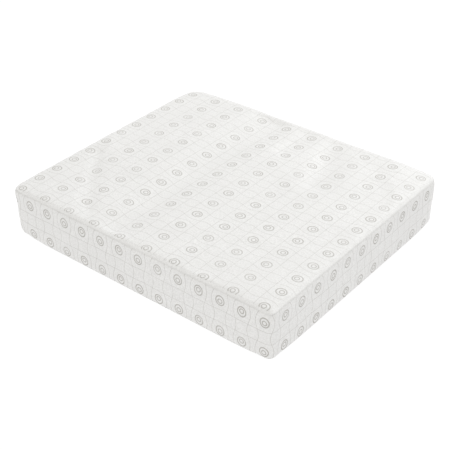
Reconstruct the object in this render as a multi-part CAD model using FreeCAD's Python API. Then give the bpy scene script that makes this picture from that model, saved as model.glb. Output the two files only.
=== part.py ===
"""Pressure relief pad: a boxed foam pad in a sewn cover with a zip along the rear side.

Millimetres. The origin is the middle of the flat base, +X runs along the width, +Y from the
front side to the rear side, and +Z up. Each sub-part is written to parts/NAME.step.
"""

import FreeCAD, Part
import math
import os

Vector = FreeCAD.Vector

# Pad, outside the cover
WIDTH = 635.0
DEPTH = 559.0
HEIGHT = 104.0
CORNER_RADIUS = 20.0
SHOULDER_RADIUS = 13.0
BASE_RADIUS = 6.0

# Cover and its seams
COVER_THICKNESS = 1.0
TOP_SEAM_Z = 99.0
BASE_SEAM_Z = 3.0
SEAM_GAP = 0.8
SEAM_THREAD = 0.6

# Wadding wrap
WADDING_INSET = 2.0
WADDING_THICKNESS = 4.0
WADDING_TOP_THICKNESS = 5.0
CHANNEL_CLEARANCE = 0.6
CHANNEL_MARGIN_Z = 2.4

# Foam core
CORE_GAP = 0.2
BASE_LAYER_TOP_Z = 45.0
CASTELLATED_TOP_Z = 72.0
BOLSTER_WIDTH = 40.0
CELLS_X = 11
CELLS_Y = 9
CELL_SLOT_WIDTH = 4.0
CELL_SLOT_DEPTH = 17.0

# Zip, measured from its own centre line: along X, out along Y, up and down along Z
ZIP_Z = 52.0
ZIP_CHAIN_INSET = 1.45
ZIP_WINDOW_HALF_LENGTH = 268.2
ZIP_WINDOW_HALF_HEIGHT = 6.0
TAPE_HALF_LENGTH = 262.0
TAPE_EDGE_Z = 2.0
TAPE_WIDTH = 13.0
TAPE_THICKNESS = 0.7
TOOTH_PITCH = 3.0
TOOTH_TIP_Z = 0.5
TOOTH_HEAD_Z = 1.7
TOOTH_ROOT_Z = 3.1
TOOTH_HEAD_WIDTH = 1.7
TOOTH_STEM_WIDTH = 1.2
TOOTH_THICKNESS = 2.3
TAPE_SLOT_CLEARANCE = 0.05
STOP_X = 247.0
STOP_LENGTH = 3.0
END_TAB_INNER_X = 251.0

# Slider and pull
SLIDER_LENGTH = 12.0
SLIDER_NOSE_HALF_WIDTH = 4.6
SLIDER_TAIL_HALF_WIDTH = 4.0
SLIDER_PLATE = 1.2
SLIDER_CLEARANCE = 0.3
SLIDER_FLANGE_Z = 3.45
SLIDER_FLANGE_CLEARANCE = 0.35
POST_THICKNESS = 0.6
POST_LENGTH = 2.8
BRIDGE_LENGTH = 9.0
BRIDGE_FOOT = 1.2
BRIDGE_WINDOW = 2.0
BRIDGE_BAR = 1.2
BRIDGE_WIDTH = 2.0
PULL_LENGTH = 22.0
PULL_WIDTH = 5.8
PULL_THICKNESS = 1.2
PULL_PIN_RADIUS = 0.7
PULL_EYE_LENGTH = 5.4
PULL_EYE_WIDTH = 2.6
PULL_RIB_COUNT = 4
PULL_RIB_PITCH = 2.4
PULL_RIB_WIDTH = 0.8
PULL_RIB_HEIGHT = 0.25

# Zip stitching
STITCH_Z = 9.0
STITCH_PITCH = 4.0
STITCH_LENGTH = 3.0
STITCH_THICKNESS = 0.35

FRONT_Y = -DEPTH / 2
REAR_Y = DEPTH / 2
CHAIN_Y = REAR_Y - ZIP_CHAIN_INSET
SLIDER_REST_X = -(STOP_X - STOP_LENGTH / 2 - SLIDER_CLEARANCE - SLIDER_LENGTH / 2)
CORE_INSET = WADDING_INSET + WADDING_THICKNESS + CORE_GAP
CORE_BASE_Z = COVER_THICKNESS + WADDING_THICKNESS
CORE_TOP_Z = HEIGHT - COVER_THICKNESS - WADDING_TOP_THICKNESS


def box(x0, x1, y0, y1, z0, z1):
    return Part.makeBox(x1 - x0, y1 - y0, z1 - z0, Vector(x0, y0, z0))


def across(z0, z1):
    """Everything between two heights."""
    return box(-WIDTH, WIDTH, -DEPTH, DEPTH, z0, z1)


def rounded_outline(half_x, half_y, radius, z):
    """A closed wire: a rectangle with round corners, drawn anticlockwise from the front right."""
    arcs = []
    for i, (sx, sy) in enumerate([(1, -1), (1, 1), (-1, 1), (-1, -1)]):
        centre = Vector(sx * (half_x - radius), sy * (half_y - radius), z)
        angles = [math.radians(90 * i - 90 + turn) for turn in (0, 45, 90)]
        arcs.append([centre + Vector(math.cos(a), math.sin(a), 0) * radius for a in angles])
    edges = []
    for i, arc in enumerate(arcs):
        following = arcs[(i + 1) % len(arcs)]
        edges.append(Part.Arc(*arc).toShape())
        edges.append(Part.LineSegment(arc[-1], following[0]).toShape())
    return Part.Wire(edges)


def prism(inset, z0, z1):
    """The pad's plan, brought in on every side, from one height to another."""
    wire = rounded_outline(WIDTH / 2 - inset, DEPTH / 2 - inset, CORNER_RADIUS - inset, z0)
    return Part.Face(wire).extrude(Vector(0, 0, z1 - z0))


def edges_at(shape, z):
    """The edges that lie flat at one height."""
    return [e for e in shape.Edges if abs(e.BoundBox.ZMin - z) < 1e-6 and abs(e.BoundBox.ZMax - z) < 1e-6]


def soft_block(inset, z0, z1):
    """The pad's outer shape, brought in on every side, with round shoulders and base edges."""
    block = prism(inset, z0, z1)
    block = block.makeFillet(SHOULDER_RADIUS - inset, edges_at(block, z1))
    return block.makeFillet(BASE_RADIUS - inset, edges_at(block, z0))


def cover_shell():
    outer = soft_block(0.0, 0.0, HEIGHT)
    inner = soft_block(COVER_THICKNESS, COVER_THICKNESS, HEIGHT - COVER_THICKNESS)
    return outer.cut(inner)


def thread_shell():
    """A thinner skin inside the cover's own thickness, which the seam threads are cut from."""
    margin = (COVER_THICKNESS - SEAM_THREAD) / 2
    outer = soft_block(margin, margin, HEIGHT - margin)
    far = COVER_THICKNESS - margin
    inner = soft_block(far, far, HEIGHT - far)
    return outer.cut(inner)


def rear_window(half_length, z0, z1):
    """A block that takes in the rear side only, between two heights."""
    return box(-half_length, half_length, REAR_Y - CORNER_RADIUS / 2, REAR_Y + 10, z0, z1)


def cover_parts(shell):
    """Top panel, base panel, border strip, and the two strips that carry the zip."""
    half_gap = SEAM_GAP / 2
    low = BASE_SEAM_Z + half_gap
    high = TOP_SEAM_Z - half_gap
    side_wall = shell.common(across(low, high))
    window = rear_window(ZIP_WINDOW_HALF_LENGTH + half_gap, low - 1, high + 1)
    strip_length = ZIP_WINDOW_HALF_LENGTH - half_gap
    upper = rear_window(strip_length, ZIP_Z + ZIP_WINDOW_HALF_HEIGHT, high)
    lower = rear_window(strip_length, low, ZIP_Z - ZIP_WINDOW_HALF_HEIGHT)
    return {
        "cover_top_panel": shell.common(across(TOP_SEAM_Z + half_gap, HEIGHT + 1)),
        "cover_base_panel": shell.common(across(-1, BASE_SEAM_Z - half_gap)),
        "cover_border_strip": side_wall.cut(window),
        "zip_border_upper": shell.common(upper),
        "zip_border_lower": shell.common(lower),
    }


def seam_threads():
    """Threads that run all round in the two main seams, and up the zip panel's two ends."""
    skin = thread_shell()
    half = SEAM_THREAD / 2
    clear = SEAM_GAP / 2
    ends = []
    for side in (-1, 1):
        x = side * ZIP_WINDOW_HALF_LENGTH
        slot = box(x - half, x + half, 0, DEPTH, BASE_SEAM_Z + clear, TOP_SEAM_Z - clear)
        ends.append(skin.common(slot))
    return {
        "top_seam_thread": skin.common(across(TOP_SEAM_Z - half, TOP_SEAM_Z + half)),
        "base_seam_thread": skin.common(across(BASE_SEAM_Z - half, BASE_SEAM_Z + half)),
        "zip_panel_end_threads": Part.makeCompound(ends),
    }


def zip_channel():
    """The room that the chain and slider need in the wadding behind them."""
    depth = ZIP_CHAIN_INSET + TOOTH_THICKNESS / 2 + SLIDER_CLEARANCE + SLIDER_PLATE + CHANNEL_CLEARANCE
    half_height = SLIDER_NOSE_HALF_WIDTH + CHANNEL_MARGIN_Z
    half_length = TAPE_HALF_LENGTH
    return box(-half_length, half_length, REAR_Y - depth, REAR_Y, ZIP_Z - half_height, ZIP_Z + half_height)


def wadding_parts():
    """Fibre wrap over the core, with a channel behind the zip chain."""
    block = soft_block(WADDING_INSET, COVER_THICKNESS, HEIGHT - COVER_THICKNESS)
    hollow = prism(WADDING_INSET + WADDING_THICKNESS, 0, HEIGHT)
    wrap = block.common(across(CORE_BASE_Z, CORE_TOP_Z)).cut(hollow)
    return {
        "wadding_top": block.common(across(CORE_TOP_Z, HEIGHT)),
        "wadding_base": block.common(across(0, CORE_BASE_Z)),
        "wadding_side_wrap": wrap.cut(zip_channel()),
    }


def bolsters():
    """Four firm edge strips that stand on the base layer: front and rear run the full width."""
    ring = prism(CORE_INSET, BASE_LAYER_TOP_Z, CORE_TOP_Z)
    inner_x = WIDTH / 2 - CORE_INSET - BOLSTER_WIDTH
    inner_y = DEPTH / 2 - CORE_INSET - BOLSTER_WIDTH
    top = HEIGHT
    return {
        "foam_bolster_front": ring.common(box(-WIDTH, WIDTH, -DEPTH, -inner_y, 0, top)),
        "foam_bolster_rear": ring.common(box(-WIDTH, WIDTH, inner_y, DEPTH, 0, top)),
        "foam_bolster_left": ring.common(box(-WIDTH, -inner_x, -inner_y, inner_y, 0, top)),
        "foam_bolster_right": ring.common(box(inner_x, WIDTH, -inner_y, inner_y, 0, top)),
    }


def centre_layer(z0, z1):
    half_x = WIDTH / 2 - CORE_INSET - BOLSTER_WIDTH - CORE_GAP
    half_y = DEPTH / 2 - CORE_INSET - BOLSTER_WIDTH - CORE_GAP
    return half_x, half_y, box(-half_x, half_x, -half_y, half_y, z0, z1)


def castellated_layer():
    """A foam layer cut from above into square cells by crossing slots."""
    half_x, half_y, layer = centre_layer(BASE_LAYER_TOP_Z, CASTELLATED_TOP_Z)
    floor_z = CASTELLATED_TOP_Z - CELL_SLOT_DEPTH
    half_slot = CELL_SLOT_WIDTH / 2
    slots = []
    for i in range(1, CELLS_X):
        x = -half_x + 2 * half_x * i / CELLS_X
        slots.append(box(x - half_slot, x + half_slot, -DEPTH, DEPTH, floor_z, HEIGHT))
    for i in range(1, CELLS_Y):
        y = -half_y + 2 * half_y * i / CELLS_Y
        slots.append(box(-WIDTH, WIDTH, y - half_slot, y + half_slot, floor_z, HEIGHT))
    return layer.cut(slots)


def core_parts():
    parts = {
        "foam_base_layer": prism(CORE_INSET, CORE_BASE_Z, BASE_LAYER_TOP_Z),
        "castellated_foam_layer": castellated_layer(),
        "visco_foam_layer": centre_layer(CASTELLATED_TOP_Z, CORE_TOP_Z)[2],
    }
    parts.update(bolsters())
    return parts


def chain_block(x0, x1, z0, z1, thickness=TOOTH_THICKNESS):
    """A block on the zip's centre line, with Z counted from it."""
    half = thickness / 2
    return box(x0, x1, CHAIN_Y - half, CHAIN_Y + half, ZIP_Z + z0, ZIP_Z + z1)


def tape_slot(side):
    """The room that a tooth or stop leaves for the edge of one tape."""
    clear = TAPE_SLOT_CLEARANCE
    near, far = sorted((side * (TAPE_EDGE_Z - clear), side * (TAPE_EDGE_Z + TAPE_WIDTH)))
    return chain_block(-WIDTH, WIDTH, near, far, TAPE_THICKNESS + 2 * clear)


def tooth(side):
    """One moulded tooth at X 0: a wide head at the tip and a narrow stem that grips the tape."""
    head_z = sorted((side * TOOTH_TIP_Z, side * TOOTH_HEAD_Z))
    stem_z = sorted((side * TOOTH_HEAD_Z, side * TOOTH_ROOT_Z))
    head = chain_block(-TOOTH_HEAD_WIDTH / 2, TOOTH_HEAD_WIDTH / 2, *head_z)
    stem = chain_block(-TOOTH_STEM_WIDTH / 2, TOOTH_STEM_WIDTH / 2, *stem_z)
    return head.fuse(stem).cut(tape_slot(side)).removeSplitter()


def teeth(side, shift):
    """One row of teeth between the stops."""
    one = tooth(side)
    reach = STOP_X - STOP_LENGTH / 2 - TOOTH_PITCH
    count = int((2 * reach - shift) // TOOTH_PITCH)
    row = []
    for i in range(count):
        copy = one.copy()
        copy.translate(Vector(-reach + shift + i * TOOTH_PITCH, 0, 0))
        row.append(copy)
    return Part.makeCompound(row)


def tape(side):
    near, far = sorted((side * TAPE_EDGE_Z, side * (TAPE_EDGE_Z + TAPE_WIDTH)))
    return chain_block(-TAPE_HALF_LENGTH, TAPE_HALF_LENGTH, near, far, TAPE_THICKNESS)


def top_stops():
    """Two clips, one on each tape, at the end where the slider rests when the zip is closed."""
    clips = []
    for side in (-1, 1):
        near, far = sorted((side * TOOTH_TIP_Z, side * TOOTH_ROOT_Z))
        clip = chain_block(-STOP_X - STOP_LENGTH / 2, -STOP_X + STOP_LENGTH / 2, near, far)
        clips.append(clip.cut(tape_slot(side)))
    return Part.makeCompound(clips)


def bottom_stop():
    """One block that joins both tapes at the far end of the chain."""
    block = chain_block(STOP_X - STOP_LENGTH / 2, STOP_X + STOP_LENGTH / 2, -TOOTH_ROOT_Z, TOOTH_ROOT_Z)
    return block.cut([tape_slot(-1), tape_slot(1)])


def end_tab(side):
    """A piece of cover fabric that closes one end of the zip's window."""
    x0, x1 = sorted((side * END_TAB_INNER_X, side * (ZIP_WINDOW_HALF_LENGTH - SEAM_GAP / 2)))
    half = ZIP_WINDOW_HALF_HEIGHT - SEAM_GAP / 2
    return box(x0, x1, REAR_Y - COVER_THICKNESS, REAR_Y, ZIP_Z - half, ZIP_Z + half)


def zip_stitches(side):
    """A row of stitches that holds one tape to its border strip."""
    half = STITCH_THICKNESS / 2
    z = ZIP_Z + side * STITCH_Z
    count = int(2 * TAPE_HALF_LENGTH // STITCH_PITCH)
    first = -count * STITCH_PITCH / 2 + (STITCH_PITCH - STITCH_LENGTH) / 2
    row = []
    for i in range(count):
        x = first + i * STITCH_PITCH
        row.append(box(x, x + STITCH_LENGTH, REAR_Y, REAR_Y + STITCH_THICKNESS, z - half, z + half))
    return Part.makeCompound(row)


def slider_plate(y0):
    """One slider plate: wide at the nose, towards -X, and narrower at the tail."""
    half = SLIDER_LENGTH / 2
    nose = SLIDER_NOSE_HALF_WIDTH
    tail = SLIDER_TAIL_HALF_WIDTH
    upper = [(-half, nose - 1.0), (-half + 1.2, nose), (1.0, nose), (half - 0.6, tail), (half, tail - 0.6)]
    outline = upper + [(x, -z) for x, z in reversed(upper)]
    points = [Vector(SLIDER_REST_X + x, y0, ZIP_Z + z) for x, z in outline]
    face = Part.Face(Part.makePolygon(points + points[:1]))
    return face.extrude(Vector(0, SLIDER_PLATE, 0))


def slider_block(x0, x1, y0, y1, z0, z1):
    """A block with X counted from the slider's middle and Z from the chain's centre line."""
    return box(SLIDER_REST_X + x0, SLIDER_REST_X + x1, y0, y1, ZIP_Z + z0, ZIP_Z + z1)


def slider_outer_y():
    """The outer face of the slider's outer plate, where the bridge stands."""
    return CHAIN_Y + TOOTH_THICKNESS / 2 + SLIDER_CLEARANCE + SLIDER_PLATE


def pull_axis_y():
    return slider_outer_y() + BRIDGE_WINDOW / 2


def slider_body():
    """Two plates with turned-in flanges, a thin post at the nose and a bridge for the pull."""
    gap = TOOTH_THICKNESS / 2 + SLIDER_CLEARANCE
    half = SLIDER_LENGTH / 2
    body = slider_plate(CHAIN_Y + gap).fuse(slider_plate(CHAIN_Y - gap - SLIDER_PLATE))
    post = slider_block(
        -half, -half + POST_LENGTH, CHAIN_Y - gap, CHAIN_Y + gap, -POST_THICKNESS / 2, POST_THICKNESS / 2
    )
    pieces = [post]
    reach = TAPE_THICKNESS / 2 + SLIDER_FLANGE_CLEARANCE
    for face in (-1, 1):
        y0, y1 = sorted((CHAIN_Y + face * reach, CHAIN_Y + face * gap))
        for side in (-1, 1):
            z0, z1 = sorted((side * SLIDER_FLANGE_Z, side * (SLIDER_TAIL_HALF_WIDTH - 0.05)))
            pieces.append(slider_block(-half + 2.0, half - 0.7, y0, y1, z0, z1))
    plate_y = slider_outer_y()
    bar_y = plate_y + BRIDGE_WINDOW
    side_z = BRIDGE_WIDTH / 2
    end_x = BRIDGE_LENGTH / 2
    pieces.append(slider_block(-end_x, end_x, bar_y, bar_y + BRIDGE_BAR, -side_z, side_z))
    for side in (-1, 1):
        x0, x1 = sorted((side * end_x, side * (end_x - BRIDGE_FOOT)))
        pieces.append(slider_block(x0, x1, plate_y, bar_y, -side_z, side_z))
    return body.fuse(pieces).removeSplitter()


def pull_tab():
    """The pull, lying along the chain towards +X, with its pin through the slider's bridge."""
    y = pull_axis_y()
    half = PULL_THICKNESS / 2
    eye = PULL_EYE_WIDTH / 2
    leg_z = PULL_WIDTH / 2 - 0.4
    base = Vector(SLIDER_REST_X, y, ZIP_Z - leg_z)
    pin = Part.makeCylinder(PULL_PIN_RADIUS, 2 * leg_z, base, Vector(0, 0, 1))
    pieces = []
    for side in (-1, 1):
        z0, z1 = sorted((side * eye, side * leg_z))
        pieces.append(slider_block(0, PULL_EYE_LENGTH, y - half, y + half, z0, z1))
    edge = PULL_WIDTH / 2
    tab = slider_block(PULL_EYE_LENGTH, PULL_LENGTH - edge, y - half, y + half, -edge, edge)
    tip = Vector(SLIDER_REST_X + PULL_LENGTH - edge, y - half, ZIP_Z)
    round_tip = Part.makeCylinder(edge, PULL_THICKNESS, tip, Vector(0, 1, 0))
    pieces.extend([tab, round_tip])
    for i in range(PULL_RIB_COUNT):
        x = PULL_LENGTH - edge - i * PULL_RIB_PITCH
        rib_z = edge - 0.9
        pieces.append(slider_block(x, x + PULL_RIB_WIDTH, y - half, y + half + PULL_RIB_HEIGHT, -rib_z, rib_z))
    return pin.fuse(pieces).removeSplitter()


def zip_parts():
    return {
        "zip_tape_upper": tape(1),
        "zip_tape_lower": tape(-1),
        "zip_teeth_upper": teeth(1, 0.0),
        "zip_teeth_lower": teeth(-1, TOOTH_PITCH / 2),
        "zip_top_stops": top_stops(),
        "zip_bottom_stop": bottom_stop(),
        "zip_end_tab_left": end_tab(-1),
        "zip_end_tab_right": end_tab(1),
        "zip_stitch_upper": zip_stitches(1),
        "zip_stitch_lower": zip_stitches(-1),
        "zip_slider_body": slider_body(),
        "zip_pull_tab": pull_tab(),
    }


def main():
    parts = cover_parts(cover_shell())
    parts.update(seam_threads())
    parts.update(wadding_parts())
    parts.update(core_parts())
    parts.update(zip_parts())
    os.makedirs("parts", exist_ok=True)
    for name, shape in parts.items():
        valid = shape.isValid()
        print(f"{name}: {len(shape.Solids)} solids, {shape.Volume / 1000:.2f} cm3, valid {valid}")
        shape.exportStep(os.path.join("parts", name + ".step"))
    print(f"slider rest x {SLIDER_REST_X:.2f}, travel {-2 * SLIDER_REST_X:.2f}, pull axis y {pull_axis_y():.2f}")


main()
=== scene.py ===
import math

import bpy
import numpy as np
from mathutils import Matrix, Vector


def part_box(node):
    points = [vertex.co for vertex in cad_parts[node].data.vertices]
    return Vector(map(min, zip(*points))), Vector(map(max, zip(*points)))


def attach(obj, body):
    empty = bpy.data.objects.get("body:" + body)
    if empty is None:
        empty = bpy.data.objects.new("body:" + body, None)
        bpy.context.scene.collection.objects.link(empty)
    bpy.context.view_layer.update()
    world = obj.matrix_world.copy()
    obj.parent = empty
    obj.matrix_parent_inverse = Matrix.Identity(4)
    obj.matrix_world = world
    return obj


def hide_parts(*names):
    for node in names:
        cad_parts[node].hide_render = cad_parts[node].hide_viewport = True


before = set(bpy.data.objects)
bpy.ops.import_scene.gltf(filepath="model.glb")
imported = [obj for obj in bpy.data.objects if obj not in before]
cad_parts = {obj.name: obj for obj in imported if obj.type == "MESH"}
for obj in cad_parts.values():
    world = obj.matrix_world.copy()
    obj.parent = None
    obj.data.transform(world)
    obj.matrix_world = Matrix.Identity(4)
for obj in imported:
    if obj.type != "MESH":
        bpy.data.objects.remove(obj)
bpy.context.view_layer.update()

# The pad's visual model, in metres and in the CAD frame: a printed cover whose shape comes from a
# cloth simulation, the zip along its rear side, and the wadding and foam that it holds.

MM = 0.001
COVER_LOW, COVER_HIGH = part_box("cover_border_strip")
HALF_X = COVER_HIGH.x
HALF_Y = COVER_HIGH.y
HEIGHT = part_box("cover_top_panel")[1].z
TOP_SEAM_Z = (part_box("cover_top_panel")[0].z + COVER_HIGH.z) / 2
BASE_SEAM_Z = (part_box("cover_base_panel")[1].z + COVER_LOW.z) / 2
WINDOW_X = (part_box("zip_end_tab_right")[1].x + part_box("zip_border_upper")[1].x) / 2
WINDOW_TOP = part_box("zip_border_upper")[0].z
WINDOW_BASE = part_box("zip_border_lower")[1].z
ZIP_Z = (WINDOW_TOP + WINDOW_BASE) / 2
STITCH_ROW = (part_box("zip_stitch_upper")[0].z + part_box("zip_stitch_upper")[1].z) / 2 - ZIP_Z

# Each side of a box: the axis across it, which end of that axis, and whether its quads run backwards
SIDES = {
    "top": (2, -1, False), "base": (2, 0, True), "front": (1, 0, False), "rear": (1, -1, True),
    "left": (0, 0, True), "right": (0, -1, False),
}
UPRIGHTS = ("front", "rear", "left", "right")

# Rounding of the cover over the top's edge, under the base's edge and at each upright corner, and
# the thickness of its cloth
SHOULDER = 13 * MM
BASE_ROUND = 8.5 * MM
CORNER_RADII = {(1, -1): 13 * MM, (1, 1): 27 * MM, (-1, 1): 28 * MM, (-1, -1): 27 * MM}
CLOTH = 0.8 * MM

# The top seam, as arc length up the shoulder and as distance up the side and over its edge, and the
# base seam, as a height on the box before its edges are rounded
TOP_SEAM_ARC = SHOULDER * (math.pi / 2 - math.acos((TOP_SEAM_Z - HEIGHT + SHOULDER) / SHOULDER))
TOP_SEAM_RISE = HEIGHT - SHOULDER + TOP_SEAM_ARC
BASE_SEAM_DOWN = BASE_ROUND - BASE_SEAM_Z
BASE_SEAM_TICK = BASE_ROUND - BASE_ROUND * BASE_SEAM_DOWN / math.sqrt(BASE_ROUND**2 - BASE_SEAM_DOWN**2)

# The top's plain edge band, and the rows of points that the fine grid has beside the top seam
BAND_WIDTH = 6.3 * MM
SEAM_ROWS = [MM * row for row in (-5.0, -3.4, -2.2, -1.3, -0.6, 0.0, 0.6, 1.3, 2.2, 3.4)]
SEAM_ROWS += [BAND_WIDTH - 0.8 * MM, BAND_WIDTH, BAND_WIDTH + 0.8 * MM]

# The zip window's turned edge, the half width of the groove that a row of stitches pulls in, and
# where the wadding's side wrap starts
HEM = 1.2 * MM
STITCH_GROOVE = 0.9 * MM
WRAP_BASE = BASE_ROUND + 2 * MM

# What the top and the base panel have beyond the plan, on each side, and how far inside the cover
# the two faces of the wadding lie
PANEL_EDGE = 10 * MM
WADDING_OUTER = 2.2 * MM
WADDING_INNER = 5.9 * MM

# Grids, and the cloth simulation: its frames, the furthest that it moves a point, and the share of
# that movement that is kept sideways and upwards
FINE_STEP = 3.2 * MM
SIM_STEP = 6.5 * MM
SIM_FRAMES = 22
SIM_CAP = 2.4 * MM
SIDE_SWELL = 0.5
TOP_SWELL = 0.3
SIM_SETTINGS = {
    "vertex_group_mass": "held", "pin_stiffness": 4.0, "quality": 6, "mass": 0.25,
    "tension_stiffness": 25, "compression_stiffness": 25, "shear_stiffness": 6,
    "bending_stiffness": 6, "tension_damping": 12, "compression_damping": 12, "air_damping": 3,
    "shrink_min": -0.003, "use_pressure": True, "uniform_pressure_force": 0.08,
}

# Random waves, each as a height, a length and a seed
SIDE_WAVE = (0.8 * MM, 70 * MM, 5)
EDGE_WAVE = (0.8 * MM, 120 * MM, 8)
TOP_WAVE = (0.55 * MM, 85 * MM, 3)
TOP_MOTTLE = (0.22 * MM, 31 * MM, 4)
TAB_CREASES = (0.12 * MM, 6 * MM, 31)
WADDING_TUFTS = (0.35 * MM, 13 * MM, 41)

# Each seam: where it lies up the side, its ridge's height and width, its groove's depth, its
# puckers' height and a seed
SEAM_SHAPES = (
    (TOP_SEAM_RISE, 0.28 * MM, 2.4 * MM, 0.35 * MM, 0.75 * MM, 11),
    (BASE_SEAM_Z, 0.5 * MM, 3.0 * MM, 0.5 * MM, 0.3 * MM, 17),
)

# The small fold under the top's edge at the front corner
DIMPLE_MIDDLE = np.array([HALF_X - 7 * MM, -HALF_Y + 5 * MM, 96 * MM])
DIMPLE_SIZE = 6 * MM
DIMPLE_DEPTH = 2.0 * MM

# How far a corner's looseness reaches, and for each corner how far the cover is tucked in at the top
# and at the base, how far its base is lifted and how far its top has sunk, in millimetres
CORNER_REACH = 46 * MM
CORNER_TUCKS = {
    (1, -1): (0.0, 2.2, 2.2, 1.6), (1, 1): (2.5, 4.0, 3.5, 2.4),
    (-1, 1): (2.5, 3.0, 2.5, 4.5), (-1, -1): (0.0, 3.0, 5.0, 2.2),
}

# The lift of the whole top, how far a hollow fades beyond its ends, and the soft hollows in the top:
# the line of each one's bottom as (from front, from left), its width on the left, its width on the
# right, and its depth, all in millimetres; a negative depth is a ridge
TOP_LIFT = 0.8 * MM
HOLLOW_FADE = 22 * MM
HOLLOWS = (
    ([(-20, 258), (120, 254), (250, 252), (400, 250), (580, 246)], (28, 34, 42, 50, 52), 38, 8.0),
    ([(200, 160), (580, 160)], (60, 60), 50, -2.2),
    ([(445, 334), (500, 338), (580, 332)], (16, 22, 24), 24, 4.2),
    ([(375, 458), (450, 432), (500, 412), (580, 380)], (24, 24, 24, 22), 36, 4.6),
    ([(440, 536), (500, 520), (580, 492)], (30, 28, 26), 30, 1.0),
    ([(395, 634), (440, 602), (480, 570), (580, 536)], (14, 14, 14, 14), 24, -1.1),
    ([(40, 176), (85, 135), (115, 106), (160, 74), (200, 45)], (30, 28, 26, 20, 18), 22, 4.2),
    ([(10, 214), (30, 186), (60, 158), (130, 120)], (18, 20, 22, 22), 24, 1.2),
    ([(200, 58), (240, 36), (275, 10)], (20, 20, 20), 16, -1.8),
    ([(20, 462), (60, 470), (130, 500)], (30, 34, 34), 34, 2.2),
)

# Stitching: from stitch to stitch, a stitch's length and its thread's radius
STITCH_PITCH = 3.6 * MM
STITCH_LENGTH = 3.3 * MM
THREAD_RADIUS = 0.28 * MM

# Foam: the slots between the cut cells, how far the wadding presses the foam's top in, the rounding
# of the blocks' edges, and the gap that a block leaves inside its CAD solid
SLOT_WIDTH = 4 * MM
SLOT_DEPTH = 17 * MM
FOAM_SINK = 1.6 * MM
FOAM_EDGE = 2.4 * MM
FOAM_GAP = 0.3 * MM

# Print: pitch along a panel and across it, half of the gap between a pair of straight lines, the
# lines' width, where a motif's centre lies on the strip and on the top, the motifs' pitch along the
# top, and how dark the ink is on the top and on the sides. The top's ink is paler than the sides':
# painted sheen, standing in for the gloss that washes out the print on the top.
PITCH = 46.9 * MM
ROW_PITCH = 65.1 * MM
BAND_HALF = 19.4 * MM
LINE_WIDTH = 0.75 * MM
STRIP_FIRST = 57.3 * MM
STRIP_ROW_Z = 81.7 * MM
TOP_FIRST_X = 24.2 * MM
TOP_FIRST_Y = 12.6 * MM
TOP_PITCH = 46.4 * MM
TOP_INK_WITH_PAINTED_SHEEN = 0.70
SIDE_INK = 0.90

# How far a wavy line is from the nearest column of motifs, level with a motif and half a row away,
# the lines' share of the ink, the softness of a printed edge, each oval as its two radii and half
# its line's width, how much lower the inner oval lies, and the pitch of the cloth's bond points
WAVE_SWING = (0.39 * PITCH, 0.243 * PITCH)
LINE_INK = 0.84
PRINT_EDGE = 0.12 * MM
OUTER_OVAL = (8.6 * MM, 9.6 * MM, 1.1 * MM)
INNER_OVAL = (4.3 * MM, 4.3 * MM, 0.95 * MM)
INNER_DROP = 1.2 * MM
BOND_PITCH = 1.4 * MM

# A part of the print's repeat with no ink in it
PLAIN_PLACE = np.array([0.5 * PITCH, 0.5 * ROW_PITCH])

# Floor: its own glow, its half size and how far it lies below the pad. Light: the room's two tones
# and the direction of its brighter side, a broad low light and a soft lamp
FLOOR_GLOW = 0.91
FLOOR_HALF = 7.0
FLOOR_DROP = 0.2 * MM
WORLD_BEHIND = (0.785, 0.79, 0.80, 1)
WORLD_BEFORE = (1.01, 0.998, 0.968, 1)
WORLD_TOWARD = (0.13, -0.72, 0.68)
LOW_LIGHT_TOWARD = Vector((-0.07, 0.82, 0.54))
LOW_LIGHT_SPREAD = math.radians(22)
LOW_LIGHT_POWER = 0.74
LOW_LIGHT_COLOUR = (0.94, 0.975, 1.0)
LAMP_PLACE = Vector((0.0, 1.25, 1.05))
LAMP_SIZE = 1.2
LAMP_POWER = 3.4

# Camera: the photo's
CAMERA_PLACE = Vector((1.0633, -1.3247, 1.1478))
CAMERA_AZIMUTH = math.radians(38.884)
CAMERA_ELEVATION = math.radians(34.056)
CAMERA_ROLL = math.radians(-0.223)
CAMERA_LENS = 81.66

# ---- numbers

def ticks(marks, step):
    """Positions from the first mark to the last, on every mark, and no further apart than step."""
    out = [marks[0]]
    for a, b in zip(marks, marks[1:]):
        count = max(1, math.ceil((b - a) / step - 1e-6))
        out.extend(a + (b - a) * i / count for i in range(1, count + 1))
    return np.array(out)


def scatter(i, j, seed):
    """A repeatable number from 0 to 1 for each pair of whole numbers."""
    mixed = np.sin(i * 127.1 + j * 311.7 + seed * 74.7) * 43758.5453
    return mixed - np.floor(mixed)


def value_noise(x, y, wavelength, seed):
    """Smooth noise from -1 to 1 with bumps about a wavelength across."""
    x, y = np.asarray(x) / wavelength, np.asarray(y) / wavelength
    i, j = np.floor(x), np.floor(y)
    u, v = (part * part * part * (part * (6 * part - 15) + 10) for part in (x - i, y - j))
    low, high = (scatter(i, j + up, seed) * (1 - u) + scatter(i + 1, j + up, seed) * u for up in (0, 1))
    return 2 * (low * (1 - v) + high * v) - 1


def waves(x, y, wave):
    """Smooth random waves from a height, a length and a seed."""
    height, length, seed = wave
    return height * value_noise(x, y, length, seed)


def bump(distance, width):
    """1 where the distance is 0, falling away smoothly over a width."""
    return np.exp(-((distance / width) ** 2))


def soft_step(value, width):
    """From 0 to 1 as a value passes 0, over a few widths."""
    return 1 / (1 + np.exp(-value / width))


def joined(parts):
    """Blocks of quads as one list of quads."""
    return np.concatenate([part.reshape(-1, 4) for part in parts])


# ---- the boxed grid

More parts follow.
